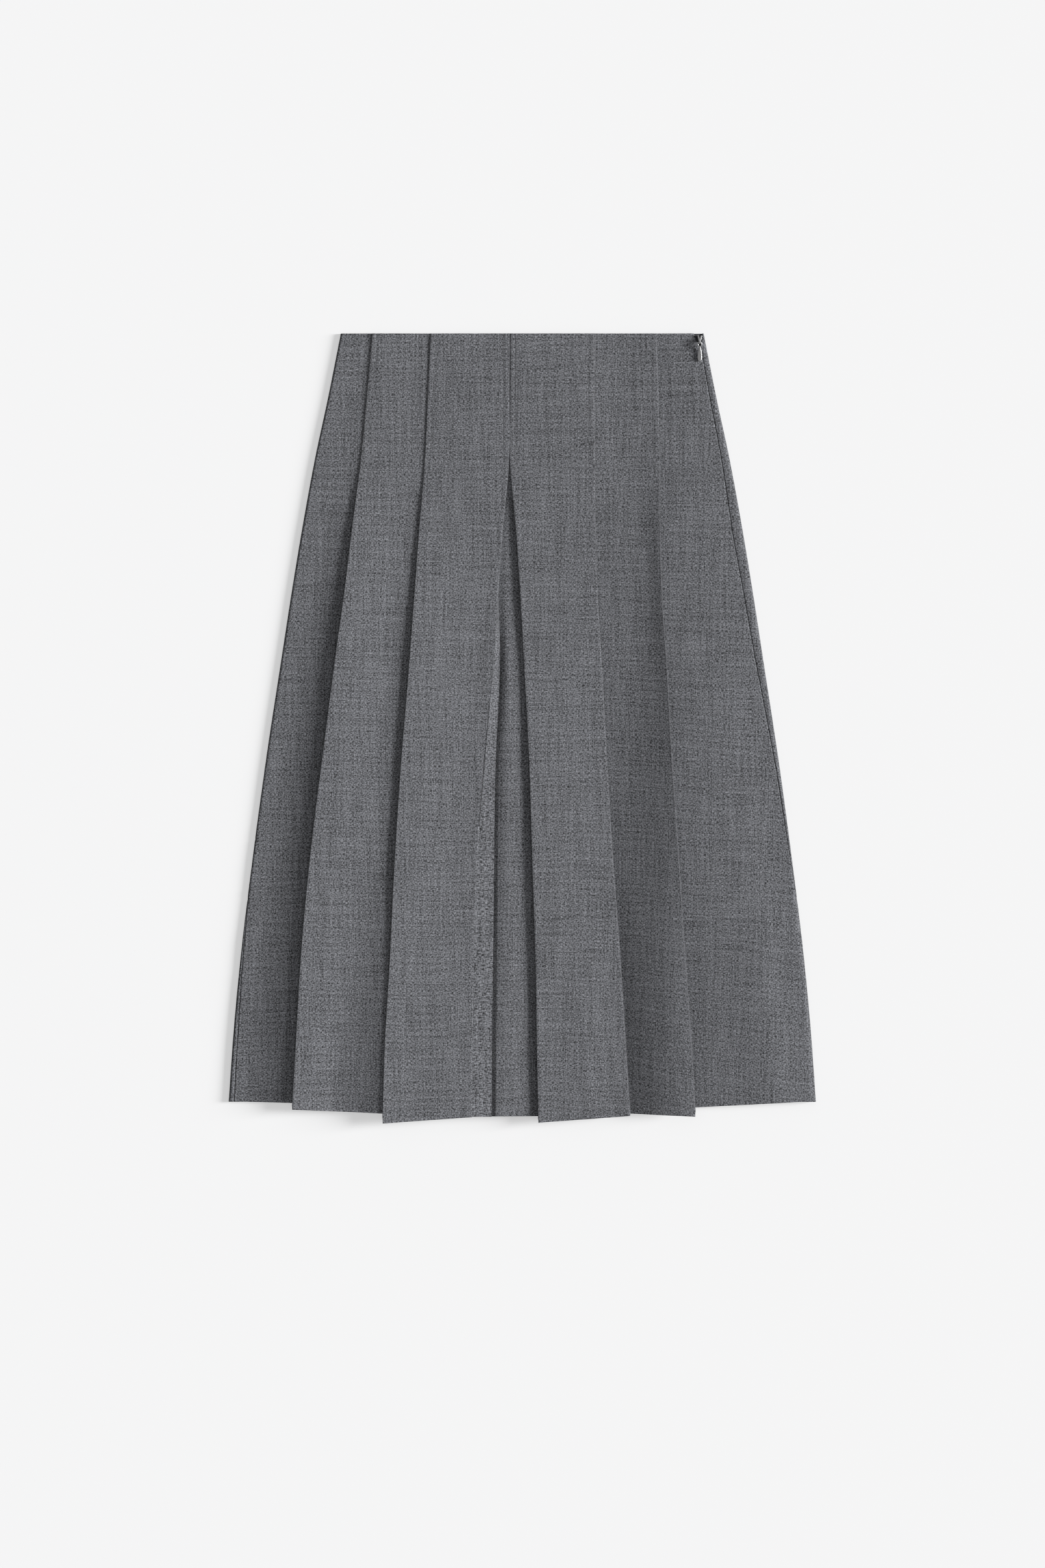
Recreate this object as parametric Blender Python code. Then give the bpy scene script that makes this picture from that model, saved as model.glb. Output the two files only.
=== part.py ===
"""Pleated midi skirt, laid flat on its back with its front up and its waist towards +Y.

The front is one wide piece of cloth, laid in four knife pleats and one inverted centre pleat. The back is
one plain flared piece. The two meet at a left and a right side seam, and an invisible zip runs down from
the waist in the right one. The zip's pull tab hangs on the slider's crown and turns on its bar.
"""

import math

import bmesh
import bpy
from mathutils import Matrix, Vector

MM = 0.001

# The driving sizes, in millimetres. "down" is always the distance below the waist edge.
LENGTH = 761.0
CLOTH = 1.0
LAYER_GAP = 0.4
LAYER = CLOTH + LAYER_GAP
SEAM_GAP = 0.45
CORNER = CLOTH * math.sqrt(0.5)
BACK_LEVEL = CLOTH / 2
FRONT_LEVEL = BACK_LEVEL + LAYER
ROLL_WIDTH = 16.0
FOLD_CLEARANCE = 6.0
ROLL_SPACING = 1.5
ROLL_STEPS = 8
LEFT = -1
RIGHT = 1

# One row for each level: half the width of the laid skirt, then how far across each folded edge lies.
SHAPE_COLUMNS = (
    "down", "half_width", "outer_left", "inner_left", "centre_left", "centre_valley", "centre_right",
    "inner_right", "outer_right",
)
SHAPE = (
    (0, 175.0, -144.7, -88.4, -12.2, -30.0, -11.6, 70.9, 129.6),
    (64, 187.4, -150.3, -91.4, -12.3, -30.0, -11.7, 69.7, 131.5),
    (124, 199.9, -155.9, -94.3, -12.6, -30.5, -11.8, 70.2, 132.6),
    (193, 212.2, -164.4, -99.8, -18.8, -28.0, -6.1, 70.9, 133.0),
    (257, 222.5, -172.0, -104.5, -23.1, -23.0, -1.9, 73.0, 134.9),
    (321, 232.1, -180.6, -109.2, -26.2, -19.5, 1.6, 76.8, 139.2),
    (418, 246.6, -192.9, -117.1, -35.0, -24.5, 6.6, 82.0, 144.4),
    (514, 259.3, -204.5, -123.3, -42.0, -27.0, 9.5, 87.8, 151.0),
    (610, 270.8, -213.2, -128.0, -44.5, -28.0, 12.5, 94.8, 157.2),
    (688, 278.1, -217.7, -132.6, -45.5, -29.0, 13.8, 99.7, 162.7),
    (761, 283.2, -221.8, -134.6, -46.0, -29.5, 15.2, 104.2, 167.0),
)

# One row for each level: how high the middle of the cloth stands at each side roll and folded edge.
HEIGHT_COLUMNS = (
    "down", "left_roll", "outer_left", "inner_left", "centre_left", "centre_right", "inner_right",
    "outer_right", "right_roll",
)
HEIGHTS = (
    (0, 2.1, 4.9, 4.9, 4.9, 4.9, 4.9, 4.9, 3.7),
    (124, 2.4, 5.0, 5.0, 4.9, 5.0, 4.9, 5.1, 3.9),
    (200, 2.8, 5.6, 5.4, 4.9, 5.2, 5.0, 5.6, 3.9),
    (321, 3.4, 7.2, 7.1, 4.6, 6.2, 5.2, 7.2, 3.9),
    (514, 4.4, 8.2, 9.2, 4.8, 7.4, 5.9, 9.2, 4.0),
    (761, 5.0, 8.8, 11.0, 5.4, 8.1, 6.8, 9.4, 4.2),
)

# One row for each folded edge, left to right: the way it faces, how far its hidden fold lies in at the waist
# and at the hem, and how far down the hem is under the edge and at the edge. The centre pleat's left half has
# no depth here, because its hidden fold crosses to the right, where the pleat falls open ("centre_valley").
FOLD_COLUMNS = ("name", "faces", "waist_depth", "hem_depth", "hem_under", "hem_edge")
FOLDS = (
    ("outer_left", LEFT, 20.0, 36.0, 741.5, 747.8),
    ("inner_left", LEFT, 20.0, 36.0, 751.5, 761.0),
    ("centre_left", RIGHT, None, None, 754.4, 754.9),
    ("centre_right", LEFT, 18.0, 32.0, 754.2, 760.3),
    ("inner_right", RIGHT, 20.0, 36.0, 751.8, 753.9),
    ("outer_right", RIGHT, 20.0, 36.0, 746.0, 754.4),
)
SIDE_HEM = 740.6

# Where the centre pleat's left half falls open: the depth at which its fold starts to open, over how much
# depth, how softly the open cloth turns, how far the layer beside it reaches, and how much the fold flattens.
OPENING_START = 4.0
OPENING_SPAN = 10.0
OPEN_TURN = 2.2
OPEN_REACH = 3.0
OPEN_FLATTENING = 0.6

# One row for each level: how far in from the side edge each side seam lies. It is on the upper side where the
# number is above zero, and underneath where it is below. The right seam parts into a small V at the waist.
SEAM_COLUMNS = ("down", "left", "right_front", "right_back")
SEAMS = (
    (0, -6.0, 9.4, 0.8),
    (8, -6.0, 8.0, 3.7),
    (13, -6.0, 6.0, 6.0),
    (28, -6.0, 5.4, 5.4),
    (119, -6.0, 7.7, 7.7),
    (200, -6.0, 10.2, 10.2),
    (316, -6.0, 7.8, 7.8),
    (435, -5.0, 3.6, 3.6),
    (545, -1.0, 1.0, 1.0),
    (577, 1.0, -1.0, -1.0),
    (610, 1.8, -3.0, -3.0),
    (688, 4.0, -5.5, -5.5),
    (761, 5.0, -6.0, -6.0),
)

# The levels at which the cloth has a row of points, as distances down on a skirt of the full length. They lie
# closest at the zip, where the centre pleat opens and where the side seams pass round the side folds.
LEVELS = (
    0, 8, 13, 28, 124, 160, 193, 225, 257, 289, 321, 370, 418, 466, 514, 545, 553, 561, 569, 577, 593, 610, 688,
    761,
)

# The invisible zip: its tape behind the right seam, its slider in the V, and the pull on the slider's crown.
TAPE_LENGTH = 200.0
TAPE_LEVEL = 2.1
TAPE_REACH = 11.0
TAPE_SIDE_CLEARANCE = 2.6
TAPE_LEVELS = (0.6, 8, 13, 28, 76, 124, 160, TAPE_LENGTH)
SLIDER_ACROSS = 171.1
SLIDER_BASE = 3.0
SLIDER_TOP = 4.6
SLIDER_OUTLINE = ((-1.0, 8.3), (1.0, 8.3), (1.5, 5.6), (1.9, 2.0), (-2.1, 2.0), (-1.6, 5.6))
CROWN_WIDTH = 1.4
CROWN_BAND = 0.5
CROWN_HOLE = 1.6
CROWN_FOOT = 5.2
CROWN_CHAMFER = 0.5
CROWN_SINK = 0.2
CROWN_SET_BACK = 0.4
PIVOT_DOWN = 9.0
PIVOT_LEVEL = 5.9
PULL_THICK = 0.9
BAR_LENGTH = 3.6
RING_LENGTH = 4.9
# How far out the ring's wire reaches and where its opening starts, at each distance along the pull from its
# bar.
RING_COLUMNS = ("along", "outside", "inside")
RING_ARM = ((0.0, 1.85, 1.25), (1.4, 2.1, 1.25), (2.7, 1.95, 1.1), (3.75, 1.4, 0.5))
# Half the pull's width at each distance along it, from its neck to its round end.
TAB_COLUMNS = ("along", "half_width")
TAB_OUTLINE = (
    (3.4, 0.95), (4.3, 1.1), (5.4, 1.15), (8.0, 1.55), (11.5, 2.0), (14.0, 2.15), (16.0, 1.95), (17.4, 1.3),
    (18.1, 0.4),
)
TAB_SAG = 0.5

WOOL_GREY = (0.145, 0.148, 0.158, 1.0)
TAPE_GREY = (0.10, 0.10, 0.11, 1.0)
ZIP_METAL = (0.62, 0.62, 0.61, 1.0)


def clear_scene():
    """Starts from an empty scene."""
    for item in list(bpy.data.objects):
        bpy.data.objects.remove(item)


def principled(name, color, roughness, metallic):
    """A plain material of one colour."""
    material = bpy.data.materials.new(name)
    material.use_nodes = True
    shader = material.node_tree.nodes["Principled BSDF"]
    shader.inputs["Base Color"].default_value = color
    shader.inputs["Roughness"].default_value = roughness
    shader.inputs["Metallic"].default_value = metallic
    return material


def table_at(columns, table, down):
    """A table's values at one distance down, on smooth curves through its rows."""
    above = 0
    while above < len(table) - 2 and table[above + 1][0] < down:
        above += 1
    start, end = table[above], table[above + 1]
    before = table[max(above - 1, 0)]
    after = table[min(above + 2, len(table) - 1)]
    span = end[0] - start[0]
    share = (down - start[0]) / span
    values = {"down": down}
    for column in range(1, len(columns)):
        slope_in = (end[column] - before[column]) / (end[0] - before[0]) * span
        slope_out = (after[column] - start[column]) / (after[0] - start[0]) * span
        values[columns[column]] = (
            start[column] * (2 * share**3 - 3 * share**2 + 1)
            + slope_in * (share**3 - 2 * share**2 + share)
            + end[column] * (3 * share**2 - 2 * share**3)
            + slope_out * (share**3 - share**2)
        )
    return values


def seams_at(down):
    """The side seams' places at one distance down, straight from row to row."""
    above = 0
    while above < len(SEAMS) - 2 and SEAMS[above + 1][0] < down:
        above += 1
    start, end = SEAMS[above], SEAMS[above + 1]
    share = (down - start[0]) / (end[0] - start[0])
    return {name: low + (high - low) * share for name, low, high in zip(SEAM_COLUMNS, start, end)}


def ease(start, end, share):
    """A value between two, leaving and arriving level."""
    return start + (end - start) * share * share * (3 - 2 * share)


def roll_point(side, half_width, height, along):
    """A point on the soft fold at a side edge. along runs round it, from 0 at its outermost line to above zero
    on the upper side and below zero underneath."""
    radius = (height - BACK_LEVEL) / 2
    quarter = radius * math.pi / 2
    centre = half_width - CLOTH / 2 - radius
    if abs(along) < quarter:
        angle = along / radius
        return side * (centre + radius * math.cos(angle)), BACK_LEVEL + radius * (1 + math.sin(angle))
    level = height if along > 0 else BACK_LEVEL
    return side * (centre - abs(along) + quarter), level


def roll_distance(height, inside):
    """How far round a side roll a line lies that is this far in from the edge, as seen from above."""
    radius = (height - BACK_LEVEL) / 2
    reach = abs(inside)
    if reach < radius:
        distance = radius * math.acos(1 - reach / radius)
    else:
        distance = radius * (math.pi / 2 - 1) + reach
    return math.copysign(distance, inside)


def roll(side, half_width, height, start, end, steps):
    """Points round a side roll from its seam, at start, to the open cloth. They lie closest at the fold, and the
    first of them is one step beyond the seam, which gives the seam's edge its direction."""
    first = math.asinh(start / ROLL_SPACING)
    last = math.asinh(end / ROLL_SPACING)
    points = []
    for step in range(-1, steps + 1):
        along = ROLL_SPACING * math.sinh(first + (last - first) * step / steps)
        across, level = roll_point(side, half_width, height, along)
        points.append((across, level, SIDE_HEM))
    return points


def folded_edge(fold, shape, heights):
    """The cloth through one pleat, as if it faced left: the layer under the edge, the hidden fold, the return,
    the folded edge and the layer on top. A pleat that faces right is the same, mirrored and in reverse."""
    edge = -fold["faces"] * shape[fold["name"]]
    if fold["waist_depth"] is None:
        depth = -fold["faces"] * shape["centre_valley"] - edge
    else:
        depth = ease(fold["waist_depth"], fold["hem_depth"], shape["down"] / LENGTH)
    opened = min(max((OPENING_START - depth) / OPENING_SPAN, 0.0), 1.0)
    crest = heights[fold["name"]]
    hem_under, hem_edge = fold["hem_under"], fold["hem_edge"]
    half = LAYER / 2
    inner = edge + depth
    turn = CORNER + half
    hem_inner = (hem_under + hem_edge) / 2
    spread = turn + opened * (OPEN_TURN - turn)
    shallow = half * (1 - OPEN_FLATTENING * opened)
    return_side = spread * (1 - opened) - spread * opened
    top_inner = max(crest - (crest - FRONT_LEVEL - 2 * LAYER) * (1 - opened), FRONT_LEVEL)
    points = [
        (min(edge, inner) + CLOTH if opened == 0.0 else inner - spread - OPEN_REACH, FRONT_LEVEL, hem_under),
        (inner - spread, FRONT_LEVEL, hem_inner),
        (inner - CORNER * (1 - opened), FRONT_LEVEL + shallow, hem_inner),
        (inner - return_side, FRONT_LEVEL + 2 * shallow, hem_inner),
        (edge + return_side, crest - 2 * shallow, hem_edge),
        (edge + CORNER * (1 - opened), crest - shallow, hem_edge),
        (edge + spread, crest, hem_edge),
        (max(inner, edge) + FOLD_CLEARANCE, top_inner, hem_edge),
    ]
    if fold["faces"] == LEFT:
        return points
    return [(-across, level, hem) for across, level, hem in reversed(points)]


def panel(start, end, steps):
    """Points on the open cloth between two pleats, which eases from one level to the next."""
    points = []
    for step in range(1, steps):
        share = step / steps
        across = start[0] + (end[0] - start[0]) * share
        points.append((across, ease(start[1], end[1], share), start[2] + (end[2] - start[2]) * share))
    return points


def front_line(down):
    """The middle of the front's cloth at one level, from the left side seam to the right one."""
    shape = table_at(SHAPE_COLUMNS, SHAPE, down)
    heights = table_at(HEIGHT_COLUMNS, HEIGHTS, down)
    seams = seams_at(down)
    half_width = shape["half_width"]
    height = heights["left_roll"]
    start = roll_distance(height, seams["left"]) + SEAM_GAP / 2
    points = roll(LEFT, half_width, height, start, roll_distance(height, ROLL_WIDTH), ROLL_STEPS)
    for row in FOLDS:
        pleat = folded_edge(dict(zip(FOLD_COLUMNS, row)), shape, heights)
        points += panel(points[-1], pleat[0], 3)
        points += pleat
    height = heights["right_roll"]
    start = roll_distance(height, seams["right_front"]) + SEAM_GAP / 2
    side = roll(RIGHT, half_width, height, start, roll_distance(height, ROLL_WIDTH), ROLL_STEPS)
    side.reverse()
    points += panel(points[-1], side[0], 4)
    return points + side


def back_line(down):
    """The middle of the back's cloth at one level, from the left side seam, underneath, to the right one."""
    shape = table_at(SHAPE_COLUMNS, SHAPE, down)
    heights = table_at(HEIGHT_COLUMNS, HEIGHTS, down)
    seams = seams_at(down)
    sides = []
    for side, name, seam in ((LEFT, "left_roll", "left"), (RIGHT, "right_roll", "right_back")):
        start = roll_distance(heights[name], seams[seam]) - SEAM_GAP / 2
        end = roll_distance(heights[name], -ROLL_WIDTH)
        sides.append(roll(side, shape["half_width"], heights[name], start, end, ROLL_STEPS))
    left, right = sides
    right.reverse()
    return left + panel(left[-1], right[0], 4) + right


def tape_line(down):
    """The zip tape at one level: flat, behind the right seam and short of the side roll."""
    shape = table_at(SHAPE_COLUMNS, SHAPE, down)
    seams = seams_at(down)
    outer = shape["half_width"] - TAPE_SIDE_CLEARANCE
    inner = shape["half_width"] - (seams["right_front"] + seams["right_back"]) / 2 - TAPE_REACH
    return [(inner + (outer - inner) * step / 2, TAPE_LEVEL, LENGTH) for step in range(-1, 4)]


def offsets(points):
    """The normal at each point between a line's two ends, lengthened at corners to keep the wall even."""
    normals = []
    for before, point, after in zip(points, points[1:], points[2:]):
        arriving = Vector((point[0] - before[0], point[1] - before[1])).normalized()
        leaving = Vector((after[0] - point[0], after[1] - point[1])).normalized()
        along = (arriving + leaving).normalized()
        normals.append(Vector((-along.y, along.x)) / max(along.dot(arriving), 0.7))
    return normals


def cloth_wall(name, line_at, levels, material):
    """A wall of cloth through the lines across the skirt at each level. A line has one more point past each end
    of the cloth."""
    mesh = bmesh.new()
    faces_up, faces_down = [], []
    for level in levels:
        points = line_at(level)
        upper, lower = [], []
        for point, normal in zip(points[1:], offsets(points)):
            across, height, hem = point
            toward_hem = (LENGTH / 2 - level * hem / LENGTH) * MM
            for row, sign in ((upper, 0.5), (lower, -0.5)):
                shifted = (across + normal.x * CLOTH * sign, height + normal.y * CLOTH * sign)
                row.append(mesh.verts.new((shifted[0] * MM, toward_hem, shifted[1] * MM)))
        faces_up.append(upper)
        faces_down.append(lower)
    count = len(faces_up[0])
    for row in range(len(levels) - 1):
        for column in range(count - 1):
            for grid in (faces_up, faces_down):
                corners = (grid[row][column], grid[row][column + 1])
                mesh.faces.new((*corners, grid[row + 1][column + 1], grid[row + 1][column]))
        for column in (0, count - 1):
            corners = (faces_up[row][column], faces_up[row + 1][column])
            mesh.faces.new((*corners, faces_down[row + 1][column], faces_down[row][column]))
    for row in (0, len(levels) - 1):
        for column in range(count - 1):
            corners = (faces_up[row][column], faces_up[row][column + 1])
            mesh.faces.new((*corners, faces_down[row][column + 1], faces_down[row][column]))
    return finish_piece(name, mesh, material)


def finish_piece(name, mesh, material):
    """Turns a closed bmesh into a named object with its faces pointing out."""
    bmesh.ops.recalc_face_normals(mesh, faces=mesh.faces)
    data = bpy.data.meshes.new(name)
    mesh.to_mesh(data)
    mesh.free()
    data.materials.append(material)
    data.shade_smooth()
    data.set_sharp_from_angle(angle=math.radians(40))
    piece = bpy.data.objects.new(name, data)
    bpy.context.scene.collection.objects.link(piece)
    return piece


def prism(mesh, outline, extrude):
    """A straight solid from a flat outline and the vector that it is extruded along."""
    bottom = [mesh.verts.new(point) for point in outline]
    top = [mesh.verts.new(Vector(point) + Vector(extrude)) for point in outline]
    mesh.faces.new(bottom)
    mesh.faces.new(list(reversed(top)))
    for index in range(len(outline)):
        following = (index + 1) % len(outline)
        mesh.faces.new((bottom[index], bottom[following], top[following], top[index]))


def place(across, down, height):
    """A point on the laid skirt, in metres."""
    return Vector((across * MM, (LENGTH / 2 - down) * MM, height * MM))


def slider_crown_outline():
    """The crown seen from the side: a square loop for the pull's bar, on a foot that runs up the slider."""
    outer = CROWN_HOLE / 2 + CROWN_BAND
    front, rear = PIVOT_DOWN + outer, PIVOT_DOWN - outer
    top, floor = PIVOT_LEVEL + outer, PIVOT_LEVEL - outer
    return [
        (front, floor), (front, top - CROWN_CHAMFER), (front - CROWN_CHAMFER, top), (rear, top),
        (CROWN_FOOT, SLIDER_TOP - CROWN_SINK), (SLIDER_OUTLINE[0][1] - CROWN_SET_BACK, SLIDER_TOP - CROWN_SINK),
        (SLIDER_OUTLINE[0][1] - CROWN_SET_BACK, floor),
    ]


def zip_slider(material):
    """The slider: a wedge between the seam's parted edges, with a crown that is open from side to side."""
    mesh = bmesh.new()
    outline = [place(SLIDER_ACROSS + across, down, SLIDER_BASE) for across, down in SLIDER_OUTLINE]
    prism(mesh, outline, (0, 0, (SLIDER_TOP - SLIDER_BASE) * MM))
    body = finish_piece("zip_slider", mesh, material)
    start = SLIDER_ACROSS - CROWN_WIDTH / 2
    mesh = bmesh.new()
    prism(mesh, [place(start, down, level) for down, level in slider_crown_outline()], (CROWN_WIDTH * MM, 0, 0))
    crown = finish_piece("crown", mesh, material)
    mesh = bmesh.new()
    half = CROWN_HOLE / 2
    hole = [(-half, -half), (half, -half), (half, half), (-half, half)]
    corners = [place(start - 1, PIVOT_DOWN + along, PIVOT_LEVEL + up) for along, up in hole]
    prism(mesh, corners, ((CROWN_WIDTH + 2) * MM, 0, 0))
    cutter = finish_piece("crown_hole", mesh, material)
    for operation, other in (("UNION", crown), ("DIFFERENCE", cutter)):
        boolean = body.modifiers.new(operation.lower(), "BOOLEAN")
        boolean.operation = operation
        boolean.object = other
        other.hide_render = True
        other.display_type = "WIRE"
    return body


def pull_sag(along):
    """How far the pull's middle drops below its bar, at one distance along it."""
    return -TAB_SAG * min(along / RING_LENGTH, 1.0)


def zip_pull(material):
    """The pull tab: an open ring on a round bar, a neck and a drop-shaped tab, lying towards the hem. Its
    origin is the middle of the bar, which its joint turns about."""
    half = PULL_THICK / 2
    stations = [dict(zip(RING_COLUMNS, row)) for row in RING_ARM]
    mesh = bmesh.new()
    for side in (LEFT, RIGHT):
        plan = [(side * station["outside"], station["along"]) for station in stations]
        plan += [(side * station["inside"], station["along"]) for station in reversed(stations)]
        upper = [mesh.verts.new((x * MM, -y * MM, (pull_sag(y) + half) * MM)) for x, y in plan]
        lower = [mesh.verts.new((x * MM, -y * MM, (pull_sag(y) - half) * MM)) for x, y in plan]
        count = len(stations)
        for row in (upper, lower):
            for index in range(count - 1):
                far = 2 * count - 1 - index
                mesh.faces.new((row[index], row[index + 1], row[far - 1], row[far]))
        for index in range(2 * count):
            following = (index + 1) % (2 * count)
            mesh.faces.new((upper[index], upper[following], lower[following], lower[index]))
    arms = finish_piece("pull_arms", mesh, material)
    mesh = bmesh.new()
    turned = Matrix.Rotation(math.pi / 2, 4, "Y")
    bmesh.ops.create_cone(
        mesh, cap_ends=True, segments=12, radius1=half * MM, radius2=half * MM, depth=BAR_LENGTH * MM,
        matrix=turned,
    )
    bar = finish_piece("pull_bar", mesh, material)
    mesh = bmesh.new()
    rim = [(width, along) for along, width in TAB_OUTLINE]
    rim += [(-width, along) for along, width in reversed(TAB_OUTLINE)]
    outline = [Vector((x * MM, -y * MM, (pull_sag(RING_LENGTH) - half) * MM)) for x, y in rim]
    prism(mesh, outline, (0, 0, PULL_THICK * MM))
    pull = finish_piece("zip_pull", mesh, material)
    for name, other in (("arms", arms), ("bar", bar)):
        boolean = pull.modifiers.new(name, "BOOLEAN")
        boolean.operation = "UNION"
        boolean.object = other
        other.hide_render = True
        other.display_type = "WIRE"
    for item in (pull, arms, bar):
        item.location = place(SLIDER_ACROSS, PIVOT_DOWN, PIVOT_LEVEL)
    return pull


clear_scene()
wool = principled("wool_suiting", WOOL_GREY, 0.85, 0.0)
tape = principled("zip_tape", TAPE_GREY, 0.9, 0.0)
metal = principled("zip_metal", ZIP_METAL, 0.3, 1.0)
cloth_wall("front_panel", front_line, LEVELS, wool)
cloth_wall("back_panel", back_line, LEVELS, wool)
cloth_wall("zip_tape", tape_line, TAPE_LEVELS, tape)
zip_slider(metal)
zip_pull(metal)
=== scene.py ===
import math

import bmesh
import bpy
import numpy as np
from mathutils import Matrix, Vector


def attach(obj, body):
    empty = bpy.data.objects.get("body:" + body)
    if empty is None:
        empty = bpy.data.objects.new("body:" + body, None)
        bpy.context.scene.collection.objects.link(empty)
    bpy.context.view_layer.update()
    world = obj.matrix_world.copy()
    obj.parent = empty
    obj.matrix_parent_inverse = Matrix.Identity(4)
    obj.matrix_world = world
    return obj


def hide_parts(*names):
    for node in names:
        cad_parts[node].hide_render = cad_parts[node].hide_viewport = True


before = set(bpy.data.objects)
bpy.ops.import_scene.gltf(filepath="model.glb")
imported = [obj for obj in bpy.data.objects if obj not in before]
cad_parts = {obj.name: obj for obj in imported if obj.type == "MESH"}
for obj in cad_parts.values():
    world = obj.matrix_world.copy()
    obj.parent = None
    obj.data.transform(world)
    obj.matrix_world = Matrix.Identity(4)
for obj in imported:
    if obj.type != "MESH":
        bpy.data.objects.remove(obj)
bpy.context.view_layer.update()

# ------------------------------------------------------------
# The camera. It looks straight down on the laid skirt from high above, through a long lens, with the waist at
# the top.
# ------------------------------------------------------------
# In metres: its height, the place that it stands over, and how long a stretch of the floor it shows. The
# sensor is in millimetres.
CAMERA_HEIGHT = 4.0
CAMERA_OVER = (0.0003, -0.0538)
VIEW_LENGTH = 1.5123
SENSOR = 36.0


def add_to_scene(name, data):
    """A camera, light or mesh put in the scene, at the origin."""
    added = bpy.data.objects.new(name, data)
    bpy.context.scene.collection.objects.link(added)
    return added


camera_data = bpy.data.cameras.new("camera")
camera_data.sensor_width = SENSOR
camera_data.lens = SENSOR * CAMERA_HEIGHT / VIEW_LENGTH
camera = add_to_scene("camera", camera_data)
camera.location = (*CAMERA_OVER, CAMERA_HEIGHT)
bpy.context.scene.camera = camera
bpy.context.scene.view_settings.view_transform = "Standard"

# ------------------------------------------------------------
# The front. One wide piece of grey melange wool suiting, laid in two knife pleats to the left, an inverted
# pleat at the centre and two knife pleats to the right. The pleats are pressed and stitched down at the top.
# ------------------------------------------------------------
# Shapes are in millimetres from here on. Materials, single stitches and flat cuts are in metres. Down is the
# distance below the waist, a level is the height of the middle of a layer of cloth, and LAYER is the step
# from one layer's middle to the next.
MM = 0.001
LENGTH = 761.0
CLOTH = 0.4
LAYER = 0.46
BACK_LEVEL = 0.3
FRONT_LEVEL = 1.9
SEAM_GAP = 0.12
# How far in from the side edge a side's soft fold reaches, and how closely its points lie.
ROLL_WIDTH = 16.0
ROLL_SPACING = 1.5
# The turned-in edge at a seam: how far from the seam, and how deep there.
SEAM_TURN = ((0.0, 0.5), (0.12, 0.22), (0.4, 0.06), (0.9, 0.0))
LEFT = -1
RIGHT = 1

# One row for each level: half the width of the laid skirt, then how far across each folded edge lies. The
# centre valley is the hidden fold behind the centre pleat's left edge. Lower down it comes into view.
SHAPE_COLUMNS = (
    "down", "half_width", "outer_left", "inner_left", "centre_left", "centre_valley", "centre_right",
    "inner_right", "outer_right",
)
SHAPE = (
    (0, 175.0, -144.7, -88.4, -12.0, -30.0, -11.8, 70.9, 129.6),
    (64, 187.4, -150.3, -91.4, -12.1, -30.0, -11.9, 69.7, 131.5),
    (124, 199.9, -155.9, -94.3, -12.5, -30.5, -12.1, 70.2, 132.6),
    (193, 212.2, -164.4, -99.8, -18.8, -28.0, -6.1, 70.9, 133.0),
    (257, 222.5, -172.0, -104.5, -23.1, -23.0, -1.9, 73.0, 134.9),
    (321, 232.1, -180.6, -109.2, -27.0, -21.3, 1.6, 76.8, 139.2),
    (418, 246.6, -192.9, -117.1, -35.0, -25.5, 6.6, 82.0, 144.4),
    (514, 259.3, -204.5, -123.3, -42.0, -27.0, 9.5, 87.8, 151.0),
    (610, 270.8, -213.2, -128.0, -44.5, -28.0, 12.5, 94.8, 157.2),
    (688, 278.1, -217.7, -132.6, -45.5, -29.0, 13.8, 99.7, 162.7),
    (761, 283.2, -221.8, -134.6, -46.0, -29.5, 15.2, 104.2, 167.0),
)
# How far in from the side edge each side seam lies: above zero on the upper side, below zero underneath.
SEAM_COLUMNS = ("down", "left", "right_front", "right_back")
SEAMS = (
    (0, -6.0, 9.4, 0.8),
    (8, -6.0, 8.0, 3.7),
    (13, -6.0, 6.0, 6.0),
    (28, -6.0, 5.4, 5.4),
    (119, -6.0, 7.7, 7.7),
    (200, -6.0, 10.2, 10.2),
    (316, -6.0, 7.8, 7.8),
    (435, -5.0, 3.6, 3.6),
    (545, -1.0, 1.0, 1.0),
    (577, 1.0, -1.0, -1.0),
    (610, 1.8, -3.0, -3.0),
    (688, 4.0, -5.5, -5.5),
    (761, 5.0, -6.0, -6.0),
)
# One row for each folded edge: the way it faces, how far its hidden fold lies in at the waist and at the
# hem, and how far down the hem is under the edge and at the edge. The centre pleat's left edge has the
# centre valley in place of a depth.
FOLDS = {
    "outer_left": (LEFT, 20.0, 36.0, 741.5, 747.8),
    "inner_left": (LEFT, 20.0, 36.0, 751.5, 761.0),
    "centre_left": (RIGHT, None, None, 754.4, 754.9),
    "centre_right": (LEFT, 18.0, 32.0, 754.2, 760.3),
    "inner_right": (RIGHT, 20.0, 36.0, 751.8, 753.9),
    "outer_right": (RIGHT, 20.0, 36.0, 746.0, 754.4),
}
# How far down the hem is at the side folds.
SIDE_HEM = 740.6

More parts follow.
